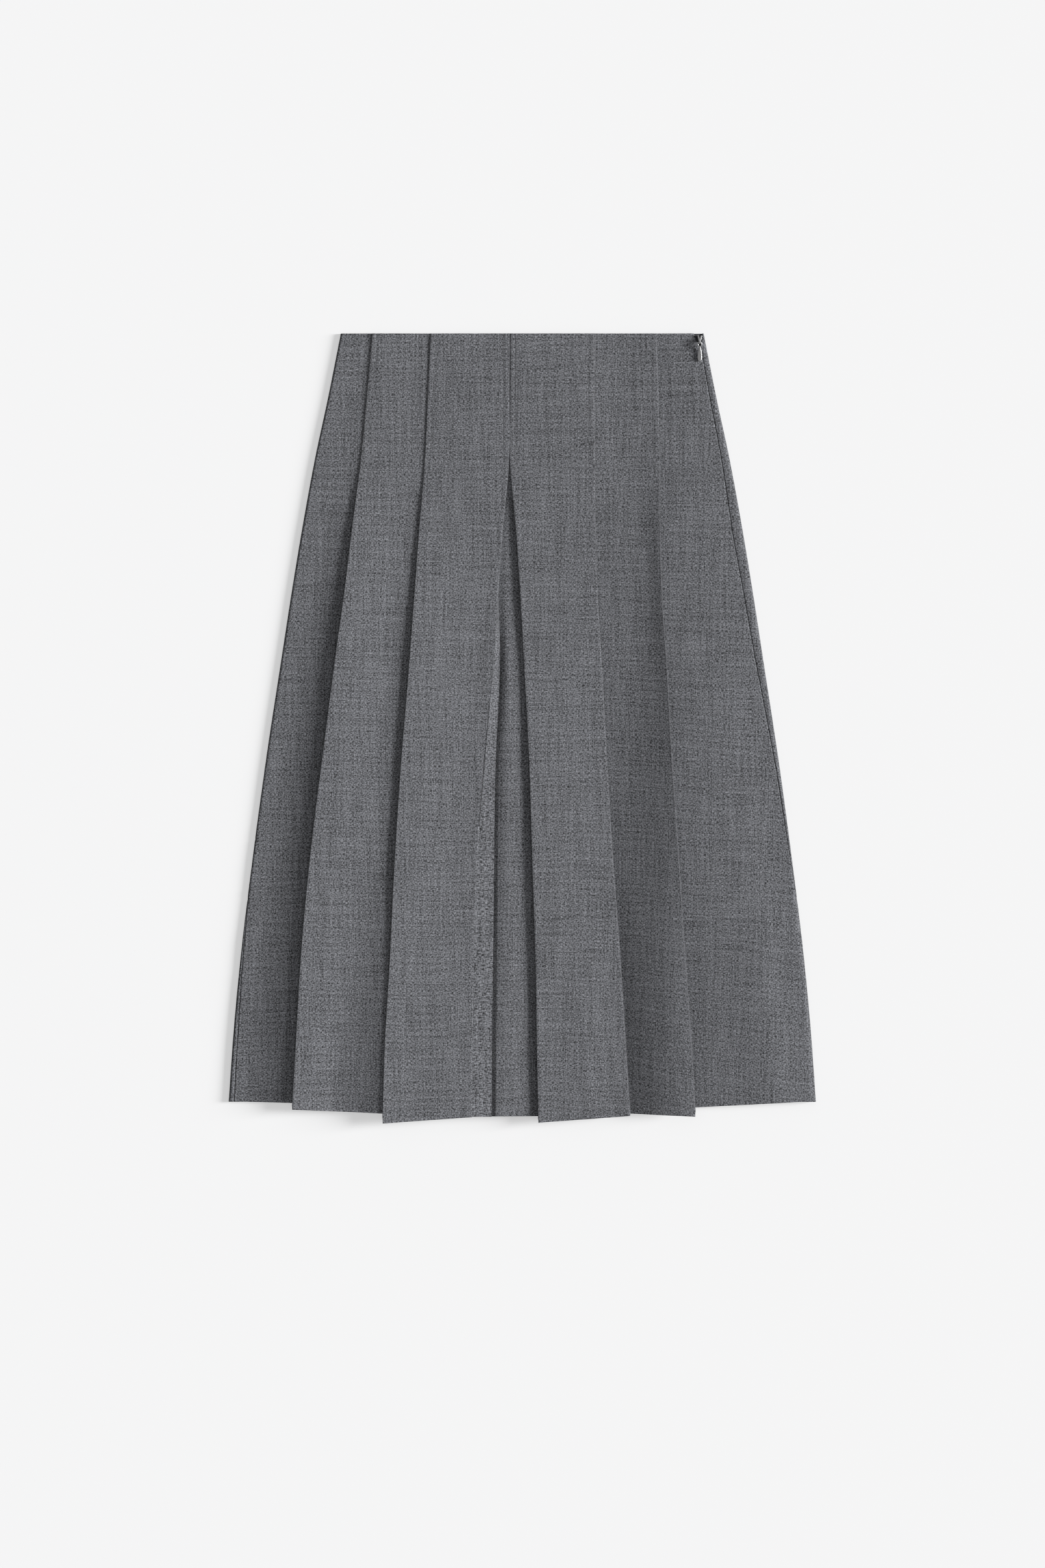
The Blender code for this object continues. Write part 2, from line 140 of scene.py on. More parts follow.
# The height of the cloth's middle across each panel that shows, at its left end, at each quarter of its
# width and at its right end. A number at a folded edge is the height of that edge.
PROFILE_COLUMNS = ("down", "start", "first", "middle", "last", "end")
PROFILES = {
    "side_left": (
        (0, 1.9, 1.9, 1.9, 2.0, 2.2),
        (124, 1.9, 1.9, 1.9, 2.0, 2.2),
        (170, 1.9, 1.9, 2.0, 2.2, 2.5),
        (257, 1.9, 2.0, 2.3, 2.8, 3.3),
        (321, 1.9, 2.1, 2.6, 3.3, 4.1),
        (418, 1.9, 2.2, 2.9, 4.0, 4.9),
        (514, 2.0, 2.3, 3.2, 4.5, 5.6),
        (640, 2.1, 2.5, 3.5, 4.9, 6.1),
        (761, 2.2, 2.6, 3.7, 5.2, 6.4),
    ),
    "panel_left": (
        (0, 2.85, 2.8, 2.5, 2.2, 2.2),
        (124, 2.9, 2.8, 2.6, 2.3, 2.3),
        (170, 4.2, 3.7, 3.0, 2.6, 2.5),
        (257, 6.2, 5.4, 4.5, 3.8, 3.6),
        (321, 7.0, 6.2, 5.3, 4.6, 4.6),
        (418, 7.6, 6.9, 6.1, 5.6, 5.7),
        (514, 8.0, 7.4, 6.8, 6.4, 6.6),
        (640, 8.7, 7.7, 6.9, 7.1, 8.7),
        (761, 9.0, 7.8, 6.6, 7.2, 9.6),
    ),
    "front_left": (
        (0, 2.85, 2.85, 2.85, 2.85, 2.85),
        (124, 2.95, 2.9, 2.9, 2.9, 2.95),
        (170, 3.6, 3.4, 3.2, 3.1, 3.2),
        (257, 5.7, 5.1, 4.5, 4.0, 3.9),
        (321, 7.0, 6.3, 5.4, 4.6, 4.6),
        (418, 8.0, 7.3, 6.4, 5.6, 5.6),
        (514, 8.9, 8.2, 7.3, 6.5, 6.4),
        (640, 9.8, 9.1, 8.3, 7.6, 7.2),
        (761, 10.6, 9.8, 9.0, 8.4, 7.9),
    ),
    "underlay": (
        (0, 1.9, 1.9, 1.9, 1.9, 1.9),
        (124, 1.9, 1.9, 1.9, 1.9, 1.9),
        (257, 2.4, 3.0, 2.9, 2.7, 2.5),
        (321, 3.4, 4.8, 4.7, 4.4, 4.1),
        (418, 4.7, 5.9, 5.8, 5.4, 5.0),
        (514, 5.8, 6.8, 6.7, 6.3, 5.9),
        (640, 6.7, 7.4, 7.2, 6.8, 6.3),
        (761, 7.3, 7.6, 7.4, 7.0, 6.5),
    ),
    "front_right": (
        (0, 2.85, 2.85, 2.85, 2.85, 2.85),
        (124, 3.0, 2.95, 2.9, 2.9, 2.95),
        (170, 3.8, 3.5, 3.3, 3.2, 3.2),
        (257, 5.1, 4.8, 4.5, 4.4, 4.4),
        (321, 6.2, 5.8, 5.4, 5.2, 5.2),
        (418, 7.7, 7.3, 6.8, 6.5, 6.4),
        (514, 8.9, 8.6, 8.1, 7.7, 7.6),
        (640, 9.3, 9.0, 8.5, 8.2, 8.1),
        (761, 9.6, 9.3, 8.8, 8.5, 8.4),
    ),
    "panel_right": (
        (0, 2.3, 2.2, 2.3, 2.6, 2.9),
        (124, 2.35, 2.25, 2.4, 2.7, 3.2),
        (170, 2.1, 2.3, 2.6, 3.1, 4.6),
        (257, 2.1, 2.6, 3.1, 3.9, 5.9),
        (321, 2.5, 3.0, 3.6, 4.9, 7.0),
        (418, 3.2, 4.2, 5.7, 7.4, 9.2),
        (514, 3.6, 5.3, 7.1, 9.0, 10.5),
        (640, 4.0, 6.5, 8.6, 10.2, 10.8),
        (761, 4.4, 7.0, 9.2, 10.5, 10.8),
    ),
    "side_right": (
        (0, 2.1, 2.4, 2.7, 2.9, 3.1),
        (124, 2.2, 2.5, 2.8, 3.0, 3.1),
        (170, 2.3, 2.7, 2.9, 3.1, 3.1),
        (257, 2.4, 2.9, 3.1, 3.2, 3.2),
        (321, 2.5, 3.0, 3.2, 3.3, 3.3),
        (418, 2.7, 3.2, 3.4, 3.5, 3.4),
        (514, 2.8, 3.4, 3.7, 3.8, 3.5),
        (640, 3.0, 4.0, 4.6, 4.8, 4.3),
        (761, 3.2, 4.6, 5.4, 5.7, 5.0),
    ),
}
PANEL_ORDER = (
    "side_left", "panel_left", "front_left", "underlay", "front_right", "panel_right", "side_right",
)
# How many steps of points cross each panel, a side's soft fold and a pleat's hidden cloth: round its folded
# edge, along its return and round its hidden fold.
PANEL_STEPS = {
    "side_left": 12, "panel_left": 12, "front_left": 16, "underlay": 9, "front_right": 12,
    "panel_right": 12, "side_right": 15,
}
ROLL_STEPS = 9
EDGE_TURNS, RETURN_STEPS, VALLEY_TURNS = 6, 2, 4

# The fold that each panel runs into at its right end.
FOLD_AFTER = dict(zip(PANEL_ORDER, FOLDS))

# Soft waves that the pressing left in the cloth. Each runs from one point to another, across and down, and
# has a width and a height, which is below zero for a trough.
FRONT_WAVES = (
    (-44, 520, -47, 740, 9, 0.15),
    (-70, 300, -62, 600, 22, 0.25),
    (-95, 560, -104, 761, 20, -0.30),
    (-76, 640, -80, 761, 16, 0.25),
    (38, 180, 44, 520, 20, 0.25),
    (30, 600, 34, 761, 15, -0.25),
    (56, 560, 62, 761, 16, 0.30),
    (84, 640, 90, 761, 11, -0.25),
    (-160, 320, -178, 600, 18, 0.20),
    (-176, 640, -184, 761, 15, -0.30),
    (176, 260, 196, 520, 26, 0.30),
    (186, 600, 200, 761, 20, -0.35),
    (222, 560, 238, 761, 22, 0.35),
    (-238, 560, -250, 761, 14, 0.25),
)

# A soft wave fades over twice its width beyond its ends, and keeps a little height at them. One that reaches
# the hem runs off it without fading.
WAVE_REACH = 0.5
WAVE_END = 0.02

# Straight rows of points from the waist to the hem, closest at the zip, at the ends of the stitching and at
# the two edges: the first and last row of each run, and the step between its rows.
ROW_RUNS = (
    (0.0, 0.6, 0.3), (2.0, 28.0, 2.0), (33.0, 103.0, 5.0), (107.0, 132.0, 1.0), (136.6, 752.2, 5.4),
)
LAST_ROWS = (755.0, 758.0, 760.0, 760.7, 761.0)
rows = [float(down) for first, last, step in ROW_RUNS for down in np.arange(first, last + step / 2, step)]
rows += LAST_ROWS


def smooth_between(start, slope_in, end, slope_out, share):
    """A value between two, on a curve with these slopes at its ends."""
    return (
        start * (2 * share**3 - 3 * share**2 + 1)
        + slope_in * (share**3 - 2 * share**2 + share)
        + end * (3 * share**2 - 2 * share**3)
        + slope_out * (share**3 - share**2)
    )


def table_at(columns, table, down):
    """A table's values at one distance down, on smooth curves through its rows."""
    above = 0
    while above < len(table) - 2 and table[above + 1][0] < down:
        above += 1
    start, end = table[above], table[above + 1]
    before = table[max(above - 1, 0)]
    after = table[min(above + 2, len(table) - 1)]
    span = end[0] - start[0]
    share = (down - start[0]) / span
    values = {}
    for column in range(1, len(columns)):
        slope_in = (end[column] - before[column]) / (end[0] - before[0]) * span
        slope_out = (after[column] - start[column]) / (after[0] - start[0]) * span
        values[columns[column]] = smooth_between(start[column], slope_in, end[column], slope_out, share)
    return values


def seams_at(down):
    """The side seams' places at one distance down."""
    levels = [row[0] for row in SEAMS]
    return {
        name: float(np.interp(down, levels, [row[index] for row in SEAMS]))
        for index, name in enumerate(SEAM_COLUMNS)
        if index
    }


def ease(start, end, share):
    """A value between two, leaving and arriving level."""
    share = min(max(share, 0.0), 1.0)
    return start + (end - start) * share * share * (3 - 2 * share)


def profile_height(heights, share):
    """The height across a panel, on a smooth curve through its five heights."""
    count = len(heights) - 1
    place = min(max(share, 0.0), 1.0) * count
    index = min(int(place), count - 1)
    part = place - index
    start, end = heights[index], heights[index + 1]
    slope_in = (end - heights[index - 1]) / 2 if index > 0 else end - start
    slope_out = (heights[index + 2] - start) / 2 if index + 2 <= count else end - start
    return smooth_between(start, slope_in, end, slope_out, part)


def wave_height(waves, across, down):
    """How much the soft waves lift or lower the cloth at one point."""
    total = 0.0
    for x0, d0, x1, d1, width, height in waves:
        along = ((across - x0) * (x1 - x0) + (down - d0) * (d1 - d0)) / ((x1 - x0) ** 2 + (d1 - d0) ** 2)
        held = min(max(along, 0.0), 1.0)
        aside = math.hypot(across - x0 - (x1 - x0) * held, (down - d0 - (d1 - d0) * held) * WAVE_REACH)
        fade = 1.0
        if d1 < LENGTH or along <= 0.5:
            fade = math.sqrt(math.sin(math.pi * min(max(held, WAVE_END), 1 - WAVE_END)))
        total += height * fade * math.exp(-((aside / width) ** 2))
    return total


def roll_distance(height, inside):
    """How far round a side roll a line lies that is this far in from the edge, as seen from above."""
    radius = (height - BACK_LEVEL) / 2
    reach = abs(inside)
    if reach < radius:
        distance = radius * math.acos(1 - reach / radius)
    else:
        distance = radius * (math.pi / 2 - 1) + reach
    return math.copysign(distance, inside)


def roll(side, half_width, height, start, end):
    """Points on the soft fold at a side edge, from its seam, at start, to the open cloth. They lie closest at
    the fold and at the seam, where the cloth turns in. A distance above zero is on the upper side."""
    radius = (height - BACK_LEVEL) / 2
    quarter = radius * math.pi / 2
    centre = half_width - CLOTH / 2 - radius
    first = math.asinh(start / ROLL_SPACING)
    last = math.asinh(end / ROLL_SPACING)
    inward = math.copysign(1.0, end - start)
    shares = [step / ROLL_STEPS for step in range(1, ROLL_STEPS + 1)]
    places = [ROLL_SPACING * math.sinh(first + (last - first) * share) for share in shares]
    turns = [(start + inward * reach, dip) for reach, dip in SEAM_TURN]
    turns += [(along, 0.0) for along in places if (along - turns[-1][0]) * inward > SEAM_TURN[-1][0] / 2]
    points = []
    for along, dip in turns:
        angle = min(max(along / radius, -math.pi / 2), math.pi / 2)
        beyond = max(abs(along) - quarter, 0.0)
        across = centre - beyond + (radius - dip) * math.cos(angle)
        level = BACK_LEVEL + radius + (radius - dip) * math.sin(angle)
        points.append((side * across, level, SIDE_HEM, side * (half_width - along)))
    missing = ROLL_STEPS + len(SEAM_TURN) - len(points)
    for _ in range(missing):
        widest = max(range(len(points) - 1), key=lambda index: abs(points[index + 1][0] - points[index][0]))
        middle = tuple((low + high) / 2 for low, high in zip(points[widest], points[widest + 1]))
        points.insert(widest + 1, middle)
    return points


def fold_turns(edge, crest, valley, low, radius):
    """The hidden cloth of one pleat that faces right: round its folded edge, along the return and round the
    hidden fold, as two arcs and the straight line that touches both. edge and valley are the arcs' centres,
    and crest and low are the levels of the highest and the lowest point."""
    run = valley - edge
    drop = crest - low - 2 * radius
    reach = math.hypot(run, drop)
    turn = math.atan2(drop, run) + math.asin(min(2 * radius / reach, 1.0))
    points = []
    for step in range(1, EDGE_TURNS + 1):
        angle = math.pi / 2 - turn * step / EDGE_TURNS
        points.append((edge + radius * math.cos(angle), crest - radius + radius * math.sin(angle)))
    leaving = points[-1]
    entering = (valley - radius * math.sin(turn), low + radius - radius * math.cos(turn))
    for step in range(1, RETURN_STEPS + 1):
        share = step / (RETURN_STEPS + 1)
        points.append(tuple(start + (end - start) * share for start, end in zip(leaving, entering)))
    for step in range(VALLEY_TURNS + 1):
        angle = -math.pi / 2 - turn * (1 - step / VALLEY_TURNS)
        points.append((valley + radius * math.cos(angle), low + radius + radius * math.sin(angle)))
    return points


def panel_ends(name, shape):
    """Where a panel's visible part starts and ends across the skirt, and how far down its hem is there."""
    index = PANEL_ORDER.index(name)
    start, start_hem = -(shape["half_width"] - ROLL_WIDTH), SIDE_HEM
    end, end_hem = shape["half_width"] - ROLL_WIDTH, SIDE_HEM
    if index > 0:
        before = FOLD_AFTER[PANEL_ORDER[index - 1]]
        faces, _, _, hem_under, hem_edge = FOLDS[before]
        start, start_hem = shape[before], hem_edge if faces == LEFT else hem_under
    if name in FOLD_AFTER:
        faces, _, _, hem_under, hem_edge = FOLDS[FOLD_AFTER[name]]
        end, end_hem = shape[FOLD_AFTER[name]], hem_edge if faces == RIGHT else hem_under
    if name == "underlay":
        start = max(start, shape["centre_valley"])
    return start, start_hem, end, end_hem


# How much further along the cut cloth each panel lies than it does across the laid skirt.
CUT_SHIFT = dict(zip(PANEL_ORDER, (0.0, 58.0, 116.0, 150.0, 202.0, 260.0, 318.0)))
# The stitching: how far in from a folded edge it runs, how far down it ends, and how deep and wide a groove
# it pulls. A short tack across the edge ends the lines of the knife pleats.
STITCH_INSET = 5.75
STITCH_ENDS = {
    "outer_left": 110.9, "inner_left": 122.2, "centre_left": 124.6, "centre_right": 124.6,
    "inner_right": 129.2, "outer_right": 121.2,
}
GROOVE_DEPTH = 0.1
GROOVE_WIDTH = 1.0
TACKED = ("outer_left", "inner_left", "inner_right", "outer_right")
TACK_DEPTH = 0.25
# How far in from a stitched edge its points lie, the least gap between two of them, and how many steps of
# points cross the cloth between a hidden fold and the next panel.
EDGE_STEPS = (2.2, 4.4, 5.1, 5.75, 6.4, 7.1, 9.5)
EDGE_GAP = 0.1
UNDER_STEPS = 3
# The centre pleat's left half falls open in two stages. Each has where it starts, how long it takes and the
# fold's radius, or what it adds to that. Where it falls open, its hidden fold also moves a radius to the
# right, from where and over how long.
FIRST_OPENING = (210, 110, 0.7)
WIDER_OPENING = (320, 330, 1.5)
VALLEY_MOVES = (200, 120)


def groove(distance, down, fold):
    """How deep the stitching pulls the cloth in, at a distance in from a folded edge."""
    end = STITCH_ENDS[fold]
    depth = 0.0
    if down < end + GROOVE_WIDTH:
        fade = min((end + GROOVE_WIDTH - down) / GROOVE_WIDTH, 1.0)
        depth = GROOVE_DEPTH * fade * math.exp(-(((distance - STITCH_INSET) / GROOVE_WIDTH) ** 2))
    if fold in TACKED and distance < STITCH_INSET:
        depth = max(depth, TACK_DEPTH * math.exp(-(((down - end) / GROOVE_WIDTH) ** 2)))
    return depth


def fold_radius(name, down):
    """Half the distance between the two layers at a fold."""
    if name != "centre_left":
        return LAYER / 2
    start, run, radius = FIRST_OPENING
    first = ease(LAYER / 2, radius, (down - start) / run)
    start, run, added = WIDER_OPENING
    return first + ease(0.0, added, (down - start) / run)


def folded_edges(name):
    """The folded edges at a panel's left and right end, or None where the panel runs under its neighbour."""
    index = PANEL_ORDER.index(name)
    before = FOLD_AFTER[PANEL_ORDER[index - 1]] if index else None
    after = FOLD_AFTER.get(name)
    left = before if before and FOLDS[before][0] == LEFT else None
    right = after if after and FOLDS[after][0] == RIGHT else None
    return left, right


def panels_beside(fold):
    """The panels to the left and to the right of a folded edge."""
    index = list(FOLDS).index(fold)
    return PANEL_ORDER[index], PANEL_ORDER[index + 1]


def panel_point(name, across, down, shape, profiles):
    """The height of a panel's middle and how far down its hem is, at one point of its visible part."""
    start, start_hem, end, end_hem = panel_ends(name, shape)
    share = (across - start) / (end - start)
    level = profile_height(profiles[name], share)
    left_edge, right_edge = folded_edges(name)
    if left_edge:
        level -= groove(across - start, down, left_edge)
    if right_edge:
        level -= groove(end - across, down, right_edge)
    return level, start_hem + (end_hem - start_hem) * min(max(share, 0.0), 1.0)


def profiles_at(down):
    """Every panel's five heights at one distance down."""
    return {name: list(table_at(PROFILE_COLUMNS, PROFILES[name], down).values()) for name in PANEL_ORDER}


def visible_places(name, down, shape):
    """How far across the points of a panel's visible part lie. They are closest at its stitched edges."""
    start, _, end, _ = panel_ends(name, shape)
    left_edge, right_edge = folded_edges(name)
    places = []
    low, high = start, end
    if left_edge:
        turned = start + CLOTH / 2 + fold_radius(left_edge, down)
        places = [turned] + [start + step for step in EDGE_STEPS]
        low = places[-1]
    ending = []
    if right_edge:
        turned = end - CLOTH / 2 - fold_radius(right_edge, down)
        ending = [min(end - step, turned - EDGE_GAP) for step in reversed(EDGE_STEPS)] + [turned]
        high = ending[0]
    steps = PANEL_STEPS[name]
    first = 1 if left_edge or name == PANEL_ORDER[0] else 0
    last = steps if right_edge or name == PANEL_ORDER[-1] else steps + 1
    places += [low + (high - low) * step / steps for step in range(first, last)]
    return places + ending


def hidden_pleat(fold, down, shape, profiles):
    """The hidden cloth of one pleat, from the panel on its left to the panel on its right: the layer under
    the edge, the hidden fold, the return and the folded edge, or the same the other way round."""
    faces, waist_depth, hem_depth, hem_under, hem_edge = FOLDS[fold]
    left_panel, right_panel = panels_beside(fold)
    radius = fold_radius(fold, down)
    edge = faces * shape[fold] - CLOTH / 2 - radius
    if waist_depth is None:
        crest, floor = profiles[left_panel][-1], profiles[right_panel][0]
        start, run = VALLEY_MOVES
        valley = shape["centre_valley"] - radius * ease(1.0, 0.0, (down - start) / run)
        beside = panel_ends(right_panel, shape)[0]
        under_level = floor
    else:
        crest = profiles[left_panel][-1] if faces == RIGHT else profiles[right_panel][0]
        floor = FRONT_LEVEL
        valley = faces * shape[fold] - ease(waist_depth, hem_depth, down / LENGTH) + CLOTH / 2 + radius
        beside = shape[fold]
        under_level = profiles[right_panel][0] if faces == RIGHT else profiles[left_panel][-1]
    turns = [(faces * across, level) for across, level in fold_turns(edge, crest, valley, floor, radius)]
    inner = turns[-1]
    for step in range(1, UNDER_STEPS + 1):
        share = step / (UNDER_STEPS + 1)
        turns.append((inner[0] + (beside - inner[0]) * share, ease(inner[1], under_level, share)))
    if faces == LEFT:
        turns.reverse()
    return [(across, level, (hem_under + hem_edge) / 2) for across, level in turns]


def front_line(down):
    """The middle of the front's cloth at one level, from the left side seam to the right one: how far across,
    how high, how far down its hem is, and how far along the cut cloth."""
    shape = table_at(SHAPE_COLUMNS, SHAPE, down)
    seams = seams_at(down)
    profiles = profiles_at(down)
    half_width = shape["half_width"]
    height = profiles["side_left"][0]
    start = roll_distance(height, seams["left"]) + SEAM_GAP / 2
    line = roll(LEFT, half_width, height, start, roll_distance(height, ROLL_WIDTH))
    for name in PANEL_ORDER:
        for across in visible_places(name, down, shape):
            level, hem = panel_point(name, across, down, shape, profiles)
            line.append((across, level, hem, across + CUT_SHIFT[name]))
        if name in FOLD_AFTER:
            hidden = hidden_pleat(FOLD_AFTER[name], down, shape, profiles)
            following = PANEL_ORDER[PANEL_ORDER.index(name) + 1]
            begin = line[-1][3]
            finish = visible_places(following, down, shape)[0] + CUT_SHIFT[following]
            for step, point in enumerate(hidden, 1):
                line.append((*point, begin + (finish - begin) * step / (len(hidden) + 1)))
    height = profiles["side_right"][-1]
    start = roll_distance(height, seams["right_front"]) + SEAM_GAP / 2
    side = roll(RIGHT, half_width, height, start, roll_distance(height, ROLL_WIDTH))
    side.reverse()
    return line + [(across, level, hem, cut + CUT_SHIFT["side_right"]) for across, level, hem, cut in side]


# Painted shade: the cloth's colour is darkened where it turns over steeply at a fold, to tone down the light
# on its folded edges: from how steep it lies there to how steep it is fully darkened, and by how much.
FOLD_SHADE_FROM = 0.12
FOLD_SHADE_TO = 0.5
FOLD_SHADE_DEPTH = 0.58
# How much of its thickness the cloth has on its outermost line of points and on the next, which rounds its
# edges.
EDGE_THICKNESS = (0.35, 0.85)
# Keeps a length that may be nothing from dividing by zero.
TINY = 1e-9
# The crosswise threads sway in long and short waves, more towards the hem, and lean at the right: the height
# and run of each wave, and where the lean starts, how soon it is full and how steep it is.
LONG_SWAY = 3.0
LONG_RUN = 61.0
LONG_START = 0.8
SHORT_SWAY = 1.2
SHORT_RUN = 23.0
SHORT_DOWN = 90.0
LEAN_START = 95.0
LEAN_RUN = 40.0
LEAN = 0.13


def thread_tilt(across, downs, cut):
    """How far the crosswise threads stray from level, at each point."""
    share = downs / LENGTH
    sway = LONG_SWAY * np.sin(cut / LONG_RUN + LONG_START) * share**2
    sway = sway + SHORT_SWAY * np.sin(cut / SHORT_RUN + downs / SHORT_DOWN) * share
    beyond = across - LEAN_START
    return sway + np.clip(beyond / LEAN_RUN, 0.0, 1.0) * beyond * LEAN * share


def cloth_piece(name, upper, lower, threads, material):
    """A closed piece of cloth between two grids of points, with its thread directions as a UV map."""
    height, width = upper.shape[:2]
    count = height * width
    index = np.arange(count).reshape(height, width)
    top = np.stack((index[:-1, :-1], index[1:, :-1], index[1:, 1:], index[:-1, 1:]), axis=2).reshape(-1, 4)
    rims = []
    for edge in (index[:, 0], index[-1, :], index[::-1, -1], index[0, ::-1]):
        rims.append(np.stack((edge[:-1], edge[:-1] + count, edge[1:] + count, edge[1:]), axis=1))
    faces = np.concatenate((top, top[:, ::-1] + count, *rims))
    points = np.concatenate((upper.reshape(-1, 3), lower.reshape(-1, 3))) * MM
    data = bpy.data.meshes.new(name)
    data.from_pydata(points.tolist(), [], faces.tolist())
    corners = np.zeros(len(data.loops), dtype=np.int32)
    data.loops.foreach_get("vertex_index", corners)
    places = np.tile(threads.reshape(-1, 2) * MM, (2, 1))
    weave = data.uv_layers.new(name="weave")
    weave.data.foreach_set("uv", places[corners].astype(np.float32).ravel())
    data.materials.append(material)
    data.shade_smooth()
    return add_to_scene(name, data)


def cloth_shell(name, line_at, waves, material):
    """A thin shell of cloth through the lines across the skirt at each level, with rounded edges."""
    lines = np.array([line_at(down) for down in rows])
    downs = np.array(rows)[:, None]
    across, level, hem, cut = (lines[:, :, index] for index in range(4))
    lift = np.array([[wave_height(waves, x, down) for x in line] for line, down in zip(across, rows)])
    level = level + lift
    ahead = np.diff(np.stack((across, level), axis=2), axis=1)
    ahead /= np.linalg.norm(ahead, axis=2, keepdims=True) + TINY
    along = np.concatenate((ahead[:, :1], ahead[:, :-1] + ahead[:, 1:], ahead[:, -1:]), axis=1)
    along /= np.linalg.norm(along, axis=2, keepdims=True) + TINY
    slope = -along[:, :, 1]
    normal = np.stack((slope, np.zeros_like(slope), along[:, :, 0]), axis=2)
    thick = np.full(across.shape, CLOTH / 2)
    for edge, share in enumerate(EDGE_THICKNESS):
        thick[edge, :] *= share
        thick[-1 - edge, :] *= share
        thick[:, edge] *= share
        thick[:, -1 - edge] *= share
    toward_hem = LENGTH / 2 - downs * hem / LENGTH
    middle = np.stack((across, toward_hem, level), axis=2)
    face = thick[:, :, None] * normal
    threads = np.stack((cut, toward_hem + thread_tilt(across, downs, cut)), axis=2)
    piece = cloth_piece(name, middle + face, middle - face, threads, material)
    # Painted shade: an attribute that darkens the colour where the cloth lies steeply, as at its folded
    # edges.
    steepness = (np.abs(slope).ravel() - FOLD_SHADE_FROM) / (FOLD_SHADE_TO - FOLD_SHADE_FROM)
    painted_fold_shade = piece.data.attributes.new("painted_fold_shade", "FLOAT", "POINT")
    painted_fold_shade.data.foreach_set("value", np.tile(np.clip(steepness, 0.0, 1.0), 2).astype(np.float32))
    return piece


def socket(tree, kind, name, default=None, output=False):
    """One named socket on a node group."""
    made = tree.interface.new_socket(name=name, in_out="OUTPUT" if output else "INPUT", socket_type=kind)
    if default is not None:
        made.default_value = default


def set_inputs(tree, node, inputs):
    """Gives a node's inputs their values, or links them to other nodes."""
    for name, value in inputs.items():
        if isinstance(value, bpy.types.NodeSocket):
            tree.links.new(value, node.inputs[name])
        else:
            node.inputs[name].default_value = value


def add_node(tree, kind, inputs=None, **settings):
    """A node with its settings, and with its inputs set or linked."""
    node = tree.nodes.new(kind)
    for name, value in settings.items():
        setattr(node, name, value)
    set_inputs(tree, node, inputs or {})
    return node


def math_node(tree, operation, *values):
    """The result of a Math node."""
    return add_node(tree, "ShaderNodeMath", dict(enumerate(values)), operation=operation).outputs[0]


# The weave: how quickly its threads wander and how far, how much slower they do so along their length, how
# unlike two neighbouring threads are, how narrow a fleck is across its thread, and the darkest tone.
WANDER_SCALE = 22.0
WANDER_THREADS = 6.0
WANDER_STRETCH = 0.35
TONE_STEP = 1.373
FLECK_WIDTH = 0.8
DARKEST_TONE = 0.15
# Where the noise is read for the lengthwise and for the crosswise threads, so that no two are alike.
STREAK_SHIFTS = (0.0, 57.3)
BAND_SHIFTS = (11.7, 83.1)
FLECK_SHIFTS = (5.3, 71.9)


